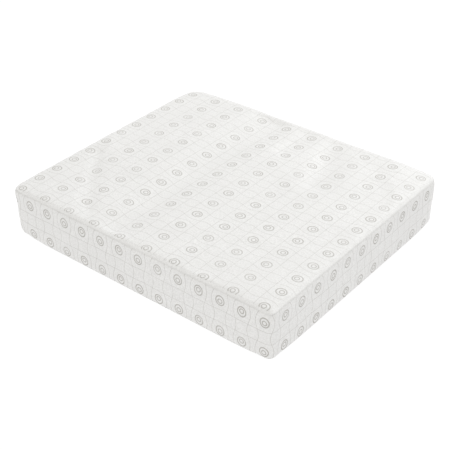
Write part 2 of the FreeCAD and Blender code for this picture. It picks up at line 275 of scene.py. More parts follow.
class BoxGrid:
    """The surface of a box as quads on given tick positions, before its edges are rounded."""

    def __init__(self, xs, ys, zs):
        self.xs, self.ys, self.zs = xs, ys, zs
        outside = np.ones((len(xs), len(ys), len(zs)), bool)
        outside[1:-1, 1:-1, 1:-1] = False
        self.index = np.full(outside.shape, -1)
        self.index[outside] = np.arange(outside.sum())
        i, j, k = np.nonzero(outside)
        self.places = np.column_stack([xs[i], ys[j], zs[k]])

    def quads(self, side, low=0, high=None):
        """One side's quads; on an upright side, only those between two Z ticks."""
        axis, end, backwards = SIDES[side]
        sheet = np.take(self.index, end, axis)[:, low:high]
        a, b, c, d = sheet[:-1, :-1], sheet[1:, :-1], sheet[1:, 1:], sheet[:-1, 1:]
        return np.stack((a, d, c, b) if backwards else (a, b, c, d), axis=-1)

    def walls(self, low=0, high=None):
        """The upright sides' quads between two Z ticks."""
        return [self.quads(side, low, high) for side in UPRIGHTS]

    def skin(self):
        """The quads of all six sides."""
        return joined([self.quads(side) for side in SIDES])


def shoulder_tick(arc):
    """Where a point at this arc length up the shoulder lies on the box: a height, or an inset."""
    angle = math.pi / 2 - arc / SHOULDER
    if angle >= math.pi / 4:
        return "height", HEIGHT - SHOULDER + SHOULDER / math.tan(angle)
    return "inset", SHOULDER * (1 - math.tan(angle))


def cover_grid(step, fine):
    """The cover's grid: its lines fall on the seams, the zip's window and the shoulder's start."""
    insets = [SHOULDER]
    heights = [0.0, BASE_SEAM_TICK, BASE_ROUND, WINDOW_BASE, WINDOW_TOP, HEIGHT - SHOULDER, HEIGHT]
    for row in SEAM_ROWS if fine else [0.0]:
        kind, where = shoulder_tick(TOP_SEAM_ARC + row)
        (heights if kind == "height" else insets).append(where)
    window_marks = [WINDOW_X]
    if fine:
        window_marks += [WINDOW_X - HEM, WINDOW_X + HEM]
        heights += [WINDOW_BASE - HEM, WINDOW_TOP + HEM, WRAP_BASE]
        heights += [BASE_SEAM_TICK - 0.8 * MM, BASE_SEAM_TICK + 0.8 * MM]
        for row in (ZIP_Z - STITCH_ROW, ZIP_Z + STITCH_ROW):
            heights += [row - STITCH_GROOVE, row, row + STITCH_GROOVE]
    axes = []
    for half, extra in ((HALF_X, window_marks), (HALF_Y, [])):
        marks = [half - d for d in insets] + extra + [half]
        axes.append(ticks(sorted([-m for m in marks] + marks), step))
    return BoxGrid(axes[0], axes[1], ticks(sorted(heights), step))


# ---- from box to cover

def rounded(places, low, high, radii, top_round, base_round):
    """Rounds a box's upright corners, and its top and base edges; returns the points and the facts
    of each. out: outward direction in plan; inset: distance in from the edge; rise: arc length up
    the side and over the top edge; edge: the outline's point beside it; turn: angle round a corner;
    across: how much further out it lies when the edge is unrolled."""
    low, high = np.array(low), np.array(high)
    middle, half = (low + high)[:2] / 2, (high - low)[:2] / 2
    x, y = places[:, 0] - middle[0], places[:, 1] - middle[1]
    z = places[:, 2].copy()
    radius = np.empty(len(x))
    for (sx, sy), r in radii.items():
        radius[(np.sign(x) * sx >= 0) & (np.sign(y) * sy >= 0)] = r
    centre_x = np.clip(x, radius - half[0], half[0] - radius)
    centre_y = np.clip(y, radius - half[1], half[1] - radius)
    centre = np.column_stack([centre_x, centre_y]) + middle
    q = places[:, :2] - centre
    reach = np.abs(q).max(axis=1)
    out = q / np.maximum(np.linalg.norm(q, axis=1), 1e-12)[:, None]
    inset = np.where(reach > 0, radius - reach, np.minimum(half[0] - np.abs(x), half[1] - np.abs(y)))
    plan = centre + out * reach[:, None]
    rise = z.copy()
    across = np.zeros(len(x))
    for size, sign, end in ((top_round, 1, high[2]), (base_round, -1, low[2])):
        level = end - sign * size
        e = size - inset
        a = sign * (z - level)
        scale = np.maximum(e, a) / np.maximum(np.hypot(e, a), 1e-12)
        angle = np.arctan2(e, a)
        flat = (e <= 0) & (a > size - 1e-9)
        rise = np.where(flat, level + sign * (size * math.pi / 2 - e), rise)
        band = (e > 0) & (a > 0)
        rise = np.where(band, level + sign * size * (math.pi / 2 - angle), rise)
        plan = plan + out * np.where(band, e * scale - e, 0)[:, None]
        z = np.where(band, level + sign * a * scale, z)
        across = np.where(band, size * angle - e * scale, across)
    facts = {
        "out": out, "inset": inset, "rise": rise, "radius": radius, "across": across,
        "edge": centre + out * radius[:, None], "turn": np.arctan2(np.abs(q[:, 0]), np.abs(q[:, 1])),
        "box": places,
    }
    return np.column_stack([plan, z]), facts


def cover_shape(places):
    """The cover's plain rounded shape, before anything swells or sags."""
    low, high = (-HALF_X, -HALF_Y, 0), (HALF_X, HALF_Y, HEIGHT)
    return rounded(places, low, high, CORNER_RADII, SHOULDER, BASE_ROUND)


def along_strip(facts, cut_at_left):
    """Arc length round the outline from the front left corner, forwards along the front side.
    The rear side counts on from the right side, or back from the left side where it is cut."""
    x, y, _ = facts["box"].T
    radius, turn = facts["radius"], facts["turn"]
    fl, fr, rl, rr = (CORNER_RADII[sx, sy] for sy in (-1, 1) for sx in (-1, 1))
    quarter = math.pi / 2
    right_start = 2 * HALF_X - fr + fr * quarter
    right_end = right_start + 2 * HALF_Y - fr - rr
    left_start = fl - fl * quarter
    left_end = left_start - (2 * HALF_Y - fl - rl)
    from_right = right_end + rr * quarter + HALF_X - rr - x
    from_left = left_end - rl * quarter - (HALF_X - rl + x)
    corner = (np.abs(x) > HALF_X - radius) & (np.abs(y) > HALF_Y - radius)
    parts = (
        (corner & (y < 0) & (x > 0), 2 * HALF_X - fr + fr * turn),
        (corner & (y < 0), fl - fl * turn),
        (corner & (x > 0), right_end + rr * (quarter - turn)),
        (corner, left_end - rl * (quarter - turn)),
        (x > HALF_X - 1e-9, right_start + y + HALF_Y - fr),
        (x < 1e-9 - HALF_X, left_start - (y + HALF_Y - fl)),
        (y > HALF_Y - 1e-9, np.where(cut_at_left & (x < 0), from_left, from_right)),
    )
    return np.select(*zip(*parts), default=x + HALF_X)


def strip_print(facts, cut_at_left=False):
    """Where each point lies on the side strip's print."""
    u = along_strip(facts, cut_at_left) - STRIP_FIRST
    return np.column_stack([u, facts["rise"] - STRIP_ROW_Z])


def top_print(points, facts):
    """Where each point lies on the top's print, with the panel's edge unrolled."""
    flat = points[:, :2] + facts["out"] * facts["across"][:, None]
    u = (flat[:, 1] + HALF_Y - TOP_FIRST_Y) * PITCH / TOP_PITCH
    return np.column_stack([u, flat[:, 0] + HALF_X - TOP_FIRST_X])


# ---- meshes

def vertex_normals(points, quads):
    """Outward unit normals, averaged over each point's quads."""
    a, b, c, d = (points[quads[:, i]] for i in range(4))
    face = np.cross(c - a, d - b)
    normals = np.zeros_like(points)
    for i in range(4):
        np.add.at(normals, quads[:, i], face)
    return normals / np.maximum(np.linalg.norm(normals, axis=1), 1e-15)[:, None]


def edges(quads):
    """The four edges of every quad, as pairs of points."""
    return np.concatenate([quads[:, [i, (i + 1) % 4]] for i in range(4)])


def smoothed(values, quads, rounds):
    """Each value drawn towards the mean of its neighbours, over and over."""
    pairs = edges(quads)
    start, end = np.concatenate([pairs, pairs[:, ::-1]]).T
    count = np.bincount(start, minlength=len(values))[:, None]
    for _ in range(rounds):
        total = np.zeros_like(values)
        np.add.at(total, start, values[end])
        values = values + 0.5 * (total / count - values)
    return values


def new_object(name, points, faces, material, uv=None):
    """A smooth mesh object; uv gives a place on the print for each corner of each face."""
    mesh = bpy.data.meshes.new(name)
    mesh.from_pydata([tuple(p) for p in points], [], [tuple(int(v) for v in f) for f in faces])
    if uv is not None:
        layer = mesh.uv_layers.new(name="print")
        layer.data.foreach_set("uv", uv.astype(np.float32).ravel())
    mesh.materials.append(material)
    mesh.shade_smooth()
    mesh.update()
    made = bpy.data.objects.new(name, mesh)
    bpy.context.scene.collection.objects.link(made)
    return made


def boundary_edges(quads):
    """Directed edges that only one quad has."""
    pairs = edges(quads).astype(np.int64)
    wide = pairs.max() + 1
    return pairs[~np.isin(pairs @ (wide, 1), pairs @ (1, wide))]


def cloth_piece(name, quads, outer, inner, material, uv=None, plain=None):
    """A closed piece with an outer skin, an inner skin and a rim, from part of a bigger grid.
    plain marks the quads that show no print."""
    used, packed = np.unique(quads, return_inverse=True)
    packed = packed.reshape(-1, 4)
    count = len(used)
    rim = boundary_edges(packed)
    sides = np.column_stack([rim[:, 1], rim[:, 0], rim[:, 0] + count, rim[:, 1] + count])
    faces = np.concatenate([packed, packed[:, ::-1] + count, sides])
    if uv is not None:
        uv = uv[used][faces % count]
    if plain is not None:
        blank = np.flatnonzero(np.concatenate([plain, plain]))
        uv[blank] = PLAIN_PLACE + np.mod(uv[blank], 4 * MM) * 0.5
    return new_object(name, np.concatenate([outer[used], inner[used]]), faces, material, uv)


# ---- the cover's shape

def window_mask(points, margin):
    """1 on the flat rear side round the zip, falling away over a margin outside its window."""
    x, y, z = points.T
    dx = np.maximum(np.abs(x) - WINDOW_X, 0)
    dz = np.maximum(np.abs(z - ZIP_Z) - (WINDOW_TOP - WINDOW_BASE) / 2, 0)
    away = np.maximum(np.hypot(dx, dz) - 5 * MM, 0)
    return np.where(y > HALF_Y - 6 * MM, bump(away, margin), 0)


def simulate(grid):
    """Swells the sewn cover with the foam's pressure and returns how far each grid point moved."""
    points, facts = cover_shape(grid.places)
    obj = new_object("sim_cover", points, grid.skin(), None)
    seams = bump(facts["rise"] - TOP_SEAM_RISE, 3 * MM) + bump(facts["rise"] - BASE_SEAM_Z, 2 * MM)
    base = np.where((points[:, 2] < 1e-6) & (facts["inset"] > 18 * MM), 1.0, 0.0)
    foam = np.full(len(points), 0.03)
    held = np.clip(np.maximum.reduce([foam, 0.85 * seams, base, window_mask(points, 10 * MM)]), 0, 1)
    group = obj.vertex_groups.new(name="held")
    for level in np.unique(np.round(held, 2)):
        chosen = np.flatnonzero(np.round(held, 2) == level)
        group.add([int(v) for v in chosen], float(level), "REPLACE")
    cloth = obj.modifiers.new("cloth", "CLOTH")
    for name, value in SIM_SETTINGS.items():
        setattr(cloth.settings, name, value)
    cloth.settings.effector_weights.gravity = 0
    cloth.collision_settings.use_collision = False
    cloth.point_cache.frame_start = 1
    cloth.point_cache.frame_end = SIM_FRAMES
    scene = bpy.context.scene
    for number in range(1, SIM_FRAMES + 1):
        scene.frame_set(number)
    settled = obj.evaluated_get(bpy.context.evaluated_depsgraph_get()).to_mesh()
    after = np.empty(len(points) * 3, np.float32)
    settled.vertices.foreach_get("co", after)
    moved = after.reshape(-1, 3).astype(float) - points
    bpy.data.objects.remove(obj)
    scene.frame_set(1)
    far = np.linalg.norm(moved, axis=1)
    return moved * (SIM_CAP * np.tanh(far / SIM_CAP) / np.maximum(far, 1e-9))[:, None]


def sampled(grid, moved, places):
    """The movement of one grid's points, read at the places of another grid on the same box."""
    out = np.zeros((len(places), 3))
    count = np.zeros(len(places))
    marks = (grid.xs, grid.ys, grid.zs)
    for axis, end, _ in SIDES.values():
        first, second = (other for other in range(3) if other != axis)
        index = np.take(grid.index, end, axis)
        on = np.abs(places[:, axis] - marks[axis][end]) < 1e-9
        us, vs = marks[first], marks[second]
        u, v = places[on, first], places[on, second]
        i = np.clip(np.searchsorted(us, u, side="right") - 1, 0, len(us) - 2)
        j = np.clip(np.searchsorted(vs, v, side="right") - 1, 0, len(vs) - 2)
        a = ((u - us[i]) / (us[i + 1] - us[i]))[:, None]
        b = ((v - vs[j]) / (vs[j + 1] - vs[j]))[:, None]
        low = moved[index[i, j]] * (1 - a) + moved[index[i + 1, j]] * a
        high = moved[index[i, j + 1]] * (1 - a) + moved[index[i + 1, j + 1]] * a
        out[on] += low * (1 - b) + high * b
        count[on] += 1
    return out / count[:, None]


def hollow(points, bottom, left_widths, right_width, depth):
    """The depth of a soft hollow along its bottom line, fading out beyond both ends."""
    from_left, from_front = points[:, 0] + HALF_X, points[:, 1] + HALF_Y
    ys, xs = (MM * np.array(values) for values in zip(*bottom))
    away = from_left - np.interp(from_front, ys, xs)
    left = np.interp(from_front, ys, MM * np.array(left_widths))
    beyond = np.maximum(np.maximum(ys[0] - from_front, from_front - ys[-1]), 0)
    width = np.where(away < 0, left, right_width * MM)
    return depth * MM * bump(away, width) * bump(beyond, HOLLOW_FADE)


def top_relief(points):
    """How the wadding lies under the top panel: long soft hollows and low mottling."""
    x, y, _ = points.T
    height = waves(x, y * 0.6, TOP_WAVE) + waves(x, y, TOP_MOTTLE)
    for bottom, left_widths, right_width, depth in HOLLOWS:
        height -= hollow(points, bottom, left_widths, right_width, depth)
    return height + TOP_LIFT


def corner_shift(points):
    """Moves the corners in, up at the base and down at the top, as the loose cover sits there."""
    shift = np.zeros_like(points)
    share = np.clip(points[:, 2] / HEIGHT, 0, 1)
    for (sx, sy), (top_in, base_in, lift, sink) in CORNER_TUCKS.items():
        tip = 0.98 * np.array([sx * HALF_X, sy * HALF_Y])
        close = MM * bump(np.linalg.norm(points[:, :2] - tip, axis=1), CORNER_REACH)
        inward = close * (base_in + (top_in - base_in) * share) * math.sqrt(0.5)
        upward = close * (lift * (1 - share) ** 4 - sink * share**6)
        shift += np.column_stack([-sx * inward, -sy * inward, upward])
    return shift


def corner_closeness(points, width):
    """1 at the pad's corners, falling away along its edges."""
    gap = np.full(len(points), 1.0)
    for (sx, sy), radius in CORNER_RADII.items():
        tip = np.array([sx * (HALF_X - radius * 0.3), sy * (HALF_Y - radius * 0.3)])
        gap = np.minimum(gap, np.linalg.norm(points[:, :2] - tip, axis=1))
    return bump(gap, width)


def broad_shape(points, facts):
    """How far the stuffing moves each point: the sides' slow waves, the corners and top relief."""
    rise, (edge_x, edge_y), z = facts["rise"], facts["edge"].T, points[:, 2]
    out = waves(edge_x + edge_y, z * 2, SIDE_WAVE) * bump(z - HEIGHT / 2, 34 * MM)
    out = np.where((rise > BASE_ROUND) & (rise < TOP_SEAM_RISE), out, 0)
    relief = top_relief(points) * soft_step(facts["inset"] - 16 * MM, 5 * MM)
    up = np.where(z > HEIGHT - SHOULDER, relief, 0)
    up = up + waves(edge_x, edge_y, EDGE_WAVE) * np.clip(z / HEIGHT, 0, 1) ** 6
    shift = np.column_stack([facts["out"] * out[:, None], up]) + corner_shift(points)
    return shift * (1 - window_mask(points, 14 * MM))[:, None]


def seam_push(points, facts):
    """How far each point stands out from the soft shape. Each seam is a low ridge with a thin
    groove along it and puckers beside it. A shallow crease marks the top's plain edge band, and the
    zip's window has sewn ends, rows of stitches and turned edges."""
    rise, (edge_x, edge_y) = facts["rise"], facts["edge"].T
    near_corner = corner_closeness(points, 42 * MM)
    push = np.zeros(len(points))
    for seam, ridge_height, ridge_width, groove, pucker, seed in SEAM_SHAPES:
        away = rise - seam
        push += ridge_height * bump(away, ridge_width) - groove * bump(away, 0.8 * MM)
        wave = value_noise(edge_x, edge_y, 9.5 * MM, np.where(away > 0, seed, seed + 1))
        wave = wave + 0.6 * value_noise(edge_x, edge_y, 21 * MM, seed + 2)
        fade = np.exp(-np.abs(away) / (6.5 * MM)) * (1 - bump(away, 1.2 * MM))
        push += pucker * (1 + 1.2 * near_corner) * wave * fade
    push -= 0.3 * MM * bump(rise - TOP_SEAM_RISE - BAND_WIDTH, 0.9 * MM)
    push -= DIMPLE_DEPTH * bump(np.linalg.norm(points - DIMPLE_MIDDLE, axis=1), DIMPLE_SIZE)
    push *= 1 - window_mask(points, 14 * MM)
    x, y, z = points.T
    rear = (y > HALF_Y - 8 * MM) & (rise > BASE_SEAM_Z) & (rise < TOP_SEAM_RISE)
    ends = bump(np.abs(x) - WINDOW_X, 1.1 * MM)
    rows = bump(np.abs(z - ZIP_Z) - STITCH_ROW, STITCH_GROOVE)
    hem = bump(np.abs(z - ZIP_Z) - 7.2 * MM, HEM)
    along_zip = np.where(np.abs(x) < WINDOW_X, 0.35 * rows - 0.12 * hem, 0)
    return push - np.where(rear, MM * (0.7 * ends + along_zip), 0)


class Cover:
    """The finished cover surface on its fine grid, and the softer shape of what lies under it."""

    def __init__(self):
        self.grid = cover_grid(FINE_STEP, fine=True)
        flat, self.facts = cover_shape(self.grid.places)
        self.flat, self.quads = flat, self.grid.skin()
        self.low_seam = self.level(BASE_SEAM_TICK)
        self.high_seam = self.level(shoulder_tick(TOP_SEAM_ARC)[1])
        self.left, self.right = (int(np.argmin(np.abs(self.grid.xs - x))) for x in (-WINDOW_X, WINDOW_X))
        moved = np.zeros_like(flat)
        coarse = cover_grid(SIM_STEP, fine=False)
        moved = smoothed(sampled(coarse, simulate(coarse), self.grid.places), self.quads, 3)
        normals = vertex_normals(flat, self.quads)
        inward = np.maximum(-(moved * normals).sum(axis=1) - 0.6 * MM, 0)
        moved += normals * inward[:, None]
        moved *= (SIDE_SWELL, SIDE_SWELL, TOP_SWELL)
        moved *= (1 - window_mask(flat, 8 * MM))[:, None]
        self.soft = flat + moved + broad_shape(flat, self.facts)
        self.soft[:, 2] = np.maximum(self.soft[:, 2], 0)
        self.soft_normals = vertex_normals(self.soft, self.quads)
        push = seam_push(flat, self.facts)
        self.points = self.soft + self.soft_normals * push[:, None]
        self.points[:, 2] = np.maximum(self.points[:, 2], 0)
        self.normals = vertex_normals(self.points, self.quads)

    def level(self, height):
        """The number of the Z tick nearest to a height on the box."""
        return int(np.argmin(np.abs(self.grid.zs - height)))

    def ring(self, k):
        """The grid points round the pad at one Z tick, in order from the front left corner."""
        index = self.grid.index
        sides = [index[:-1, 0, k], index[-1, :-1, k], index[:0:-1, -1, k], index[0, ::-1, k]]
        return np.concatenate(sides)

    def under(self, depth):
        """Points a depth inside the soft shape."""
        return self.soft - self.soft_normals * np.broadcast_to(depth, len(self.soft))[:, None]


# ---- materials

class Nodes:
    """A short way to write the nodes of a material or a world."""

    def __init__(self, name, kind="materials"):
        self.owner = getattr(bpy.data, kind).new(name)
        self.owner.use_nodes = True
        self.tree = self.owner.node_tree
        self.space = self.node("TexCoord").outputs["Object"]

    def node(self, kind, **inputs):
        made = self.tree.nodes.new("ShaderNode" + kind)
        for key, value in inputs.items():
            self.feed(made.inputs[key.replace("_", " ")], value)
        return made

    def feed(self, socket, value):
        if isinstance(value, bpy.types.NodeSocket):
            self.tree.links.new(value, socket)
        else:
            socket.default_value = value

    def math(self, operation, *values):
        made = self.tree.nodes.new("ShaderNodeMath")
        made.operation = operation
        for socket, value in zip(made.inputs, values):
            self.feed(socket, value)
        return made.outputs[0]

    def plus(self, a, b):
        return self.math("ADD", a, b)

    def minus(self, a, b):
        return self.math("SUBTRACT", a, b)

    def times(self, a, b):
        return self.math("MULTIPLY", a, b)

    def size(self, value):
        return self.math("ABSOLUTE", value)

    def distance(self, a, b):
        """How far the point (a, b) is from the origin."""
        return self.math("SQRT", self.plus(self.times(a, a), self.times(b, b)))

    def repeat(self, value, pitch):
        """Signed distance from the nearest multiple of a pitch, and that multiple's number."""
        number = self.math("FLOOR", self.plus(self.math("DIVIDE", value, pitch), 0.5))
        return self.minus(value, self.times(number, pitch)), number

    def mix(self, factor, a, b):
        """A mix of two colours."""
        made = self.tree.nodes.new("ShaderNodeMix")
        made.data_type = "RGBA"
        for number, value in ((0, factor), (6, a), (7, b)):
            self.feed(made.inputs[number], value)
        return made.outputs[2]

    def ramp(self, value, low, high, to_low=0.0, to_high=1.0):
        """A smooth step between two values."""
        made = self.tree.nodes.new("ShaderNodeMapRange")
        made.interpolation_type = "SMOOTHSTEP"
        for socket, number in zip(made.inputs, (value, low, high, to_low, to_high)):
            self.feed(socket, number)
        return made.outputs[0]

    def noise(self, scale, detail=3.0, roughness=0.5, place=None):
        """Noise in the piece's own space, or at another place."""
        place = self.space if place is None else place
        made = self.node("TexNoise", Vector=place, Scale=scale, Detail=detail, Roughness=roughness)
        return made.outputs["Fac"]

    def stroke(self, distance, half_width):
        """1 on a printed line, where the distance from it is small, and 0 beside it."""
        return self.ramp(self.size(distance), half_width + PRINT_EDGE, half_width - PRINT_EDGE)

    def bumped(self, height, distance, strength=1.0, under=None):
        made = self.node("Bump", Height=height, Distance=distance, Strength=strength)
        if under is not None:
            self.feed(made.inputs["Normal"], under)
        return made.outputs["Normal"]

    def finish(self, colour, roughness, normal=None, **constants):
        """Feeds the shader and returns the material."""
        inputs = self.tree.nodes["Principled BSDF"].inputs
        self.feed(inputs["Base Color"], colour)
        self.feed(inputs["Roughness"], roughness)
        if normal is not None:
            self.feed(inputs["Normal"], normal)
        for key, value in constants.items():
            inputs[key.replace("_", " ")].default_value = value
        return self.owner


def oval(n, along, across, radius_along, radius_across, half_width):
    """A printed oval line round the origin."""
    size = n.distance(n.math("DIVIDE", along, radius_along), n.math("DIVIDE", across, radius_across))
    return n.stroke(n.times(n.minus(size, 1.0), (radius_along + radius_across) / 2), half_width)


def print_pattern(n):
    """The printed pattern from 0 to 1: straight line pairs, wavy cross lines and nested ovals.
    Every other motif is turned upside down."""
    uv = n.node("UVMap")
    uv.uv_map = "print"
    place = n.node("SeparateXYZ", Vector=uv.outputs["UV"])
    along, across = place.outputs["X"], place.outputs["Y"]
    u, count = n.repeat(along, PITCH)
    v, _ = n.repeat(across, ROW_PITCH)
    straight = n.stroke(n.minus(n.size(v), BAND_HALF), LINE_WIDTH / 2)
    swing = n.ramp(n.size(v), 0.0, ROW_PITCH / 2, *WAVE_SWING)
    wavy = n.stroke(n.minus(n.size(u), swing), LINE_WIDTH / 2)
    odd = n.math("MODULO", n.size(count), 2.0)
    turned = n.times(v, n.minus(1.0, n.times(odd, 2.0)))
    outer = oval(n, u, turned, *OUTER_OVAL)
    inner = oval(n, u, n.plus(turned, INNER_DROP), *INNER_OVAL)
    lines = n.times(n.math("MAXIMUM", straight, wavy), LINE_INK)
    return n.math("MAXIMUM", n.math("MAXIMUM", outer, inner), lines), along, across


def printed_cloth(name, ink_and_painted_sheen):
    """Thin white nonwoven cloth with a grey print, a grid of bond points and short fibres."""
    n = Nodes(name)
    pattern, along, across = print_pattern(n)
    worn = n.ramp(n.noise(16.0, 4.0, 0.6), 0.3, 0.62, 0.68, 1.0)
    speckle = n.ramp(n.noise(900.0, 2.0), 0.25, 0.6, 0.8, 1.0)
    ink = n.times(n.times(pattern, worn), speckle)
    cloth = n.mix(n.ramp(n.noise(9.0), 0.3, 0.7), (0.787, 0.785, 0.780, 1), (0.824, 0.822, 0.817, 1))
    drawn_out = n.node("Mapping", Vector=n.space, Scale=(1.0, 3.0, 3.0)).outputs[0]
    fibres = n.noise(420.0, 5.0, 0.65, drawn_out)
    cloth = n.mix(n.ramp(fibres, 0.35, 0.7, 0.0, 0.5), cloth, (0.74, 0.737, 0.73, 1))
    grains = n.ramp(n.noise(380.0, 2.0, 0.6), 0.38, 0.62, 0.0, 0.95)
    cloth = n.mix(grains, cloth, (0.710, 0.707, 0.700, 1))
    # The print's darkness is scaled per panel; on the top it is scaled down as painted sheen that pales
    # the print.
    colour = n.mix(n.times(ink, ink_and_painted_sheen), cloth, (0.355, 0.340, 0.312, 1))
    one_way, _ = n.repeat(n.plus(along, across), BOND_PITCH)
    other_way, _ = n.repeat(n.minus(along, across), BOND_PITCH)
    bonds = n.ramp(n.distance(one_way, other_way), 0.2 * MM, 0.5 * MM)
    colour = n.mix(bonds, n.mix(0.06, colour, (0.5, 0.49, 0.47, 1)), colour)
    normal = n.bumped(fibres, 0.15 * MM, 0.5, n.bumped(bonds, 0.12 * MM, 0.5))
    roughness = n.ramp(fibres, 0.2, 0.8, 0.42, 0.56)
    looks = {"Sheen_Weight": 0.08, "Sheen_Roughness": 0.4, "Specular_IOR_Level": 0.5}
    return n.finish(colour, roughness, normal, **looks)


def fibre_wadding():
    """White polyester fibre: a fuzzy mat with strands in every direction."""
    n = Nodes("fibre_wadding")
    strands = n.node("TexNoise", Vector=n.space, Scale=160.0, Detail=6.0, Roughness=0.7, Distortion=2.5)
    strands = strands.outputs["Fac"]
    clumps = n.noise(34.0)
    colour = n.mix(n.ramp(clumps, 0.3, 0.7), (0.80, 0.80, 0.79, 1), (0.90, 0.90, 0.895, 1))
    colour = n.mix(n.ramp(strands, 0.4, 0.75, 0.0, 0.4), colour, (0.68, 0.68, 0.67, 1))
    normal = n.bumped(clumps, 1.0 * MM, 0.4, n.bumped(strands, 0.5 * MM, 0.7))
    roughness = n.ramp(strands, 0.2, 0.8, 0.85, 1.0)
    return n.finish(colour, roughness, normal, Sheen_Weight=0.35, Sheen_Roughness=0.6)


def open_foam(name, light, dark, cell):
    """Polyurethane foam: open cells of a given size, with larger pinholes here and there, and painted
    shade darkening the cells and pinholes.
    """
    n = Nodes(name)
    cells = n.node("TexVoronoi", Vector=n.space, Scale=1 / cell).outputs["Distance"]
    holes = n.node("TexVoronoi", Vector=n.space, Scale=0.16 / cell).outputs["Distance"]
    pores = n.ramp(cells, 0.1, 0.55)
    pinholes = n.ramp(holes, 0.05, 0.12)
    tone = n.mix(n.ramp(n.noise(14.0), 0.3, 0.7), dark, light)
    # Painted shade: the pores and pinholes take a darker copy of the foam's colour.
    deep = tuple(0.62 * c for c in dark[:3]) + (1,)
    colour = n.mix(n.times(pinholes, n.ramp(pores, 0.0, 1.0, 0.72, 1.0)), deep, tone)
    normal = n.bumped(pinholes, 0.6 * MM, 0.6, n.bumped(pores, 0.3 * MM, 0.7))
    return n.finish(colour, n.ramp(pores, 0.0, 1.0, 0.98, 0.86), normal, Sheen_Weight=0.1)


def sewing_thread():
    """Spun polyester thread, with the twist of its plies and painted shade in the grooves between them.
    """
    n = Nodes("sewing_thread")
    twist = n.node("TexWave", Vector=n.space, Scale=900.0, Distortion=1.5, Detail=2.0)
    twist.bands_direction = "DIAGONAL"
    twist = twist.outputs["Fac"]
    # Painted shade: the colour darkens where the twist's bump is low, in the grooves between the plies.
    colour = n.mix(twist, (0.66, 0.655, 0.64, 1), (0.83, 0.825, 0.81, 1))
    roughness = n.ramp(twist, 0.0, 1.0, 0.62, 0.42)
    return n.finish(colour, roughness, n.bumped(twist, 0.08 * MM), Sheen_Weight=0.2)


def woven_tape():
    """Zip tape: a fine herringbone weave, with painted shade between its threads."""
    n = Nodes("woven_tape")
    place = n.node("SeparateXYZ", Vector=n.space)
    x, z = place.outputs["X"], place.outputs["Z"]
    fold, _ = n.repeat(z, 4.4 * MM)
    slant = n.plus(x, n.size(fold))
    thread = n.math("SINE", n.times(slant, 2 * math.pi / (0.8 * MM)))
    across = n.math("SINE", n.times(z, 2 * math.pi / (0.5 * MM)))
    weave = n.ramp(n.plus(thread, n.times(across, 0.5)), -1.2, 1.2)
    # Painted shade: the colour darkens where the weave's bump is low, between the threads.
    colour = n.mix(weave, (0.62, 0.62, 0.60, 1), (0.80, 0.80, 0.79, 1))
    roughness = n.ramp(weave, 0.0, 1.0, 0.9, 0.7)
    return n.finish(colour, roughness, n.bumped(weave, 0.12 * MM, 0.8), Sheen_Weight=0.15)


def moulded_plastic():
    """Zip teeth and stops: slightly clouded moulded plastic."""
    n = Nodes("moulded_plastic")
    fine = n.noise(1600.0, 2.0)
    colour = n.mix(n.ramp(n.noise(220.0), 0.3, 0.7), (0.74, 0.74, 0.73, 1), (0.84, 0.84, 0.83, 1))
    roughness = n.ramp(fine, 0.3, 0.7, 0.28, 0.42)
    return n.finish(colour, roughness, n.bumped(fine, 0.04 * MM, 0.4), Coat_Weight=0.15)


def coated_metal():
    """Zip slider and pull: white enamel over cast metal, worn along its edges."""
    n = Nodes("coated_metal")
    pointy = n.node("NewGeometry").outputs["Pointiness"]
    speckle = n.noise(900.0, 4.0, 0.6)
    worn = n.ramp(n.plus(pointy, n.times(speckle, 0.12)), 0.60, 0.68)
    enamel = n.mix(n.noise(120.0), (0.70, 0.70, 0.69, 1), (0.80, 0.80, 0.79, 1))
    colour = n.mix(worn, enamel, (0.42, 0.42, 0.43, 1))
    roughness = n.ramp(speckle, 0.2, 0.8, 0.24, 0.4)
    return n.finish(colour, roughness, n.bumped(speckle, 0.03 * MM, 0.5), Coat_Weight=0.3)


def pale_floor():
    """A pale floor with a glow of its own."""
    n = Nodes("pale_floor")
    colour = n.mix(n.noise(3.0), (0.12, 0.12, 0.12, 1), (0.14, 0.14, 0.14, 1))
    looks = {"Emission_Color": (1, 1, 1, 1), "Emission_Strength": FLOOR_GLOW}
    return n.finish(colour, 0.9, Specular_IOR_Level=0.0, **looks)


# ---- the pieces

def finished_piece(piece, node):
    """Fastens a piece to the pad and hides the CAD node it stands for."""
    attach(piece, "pad")
    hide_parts(node)
    return piece


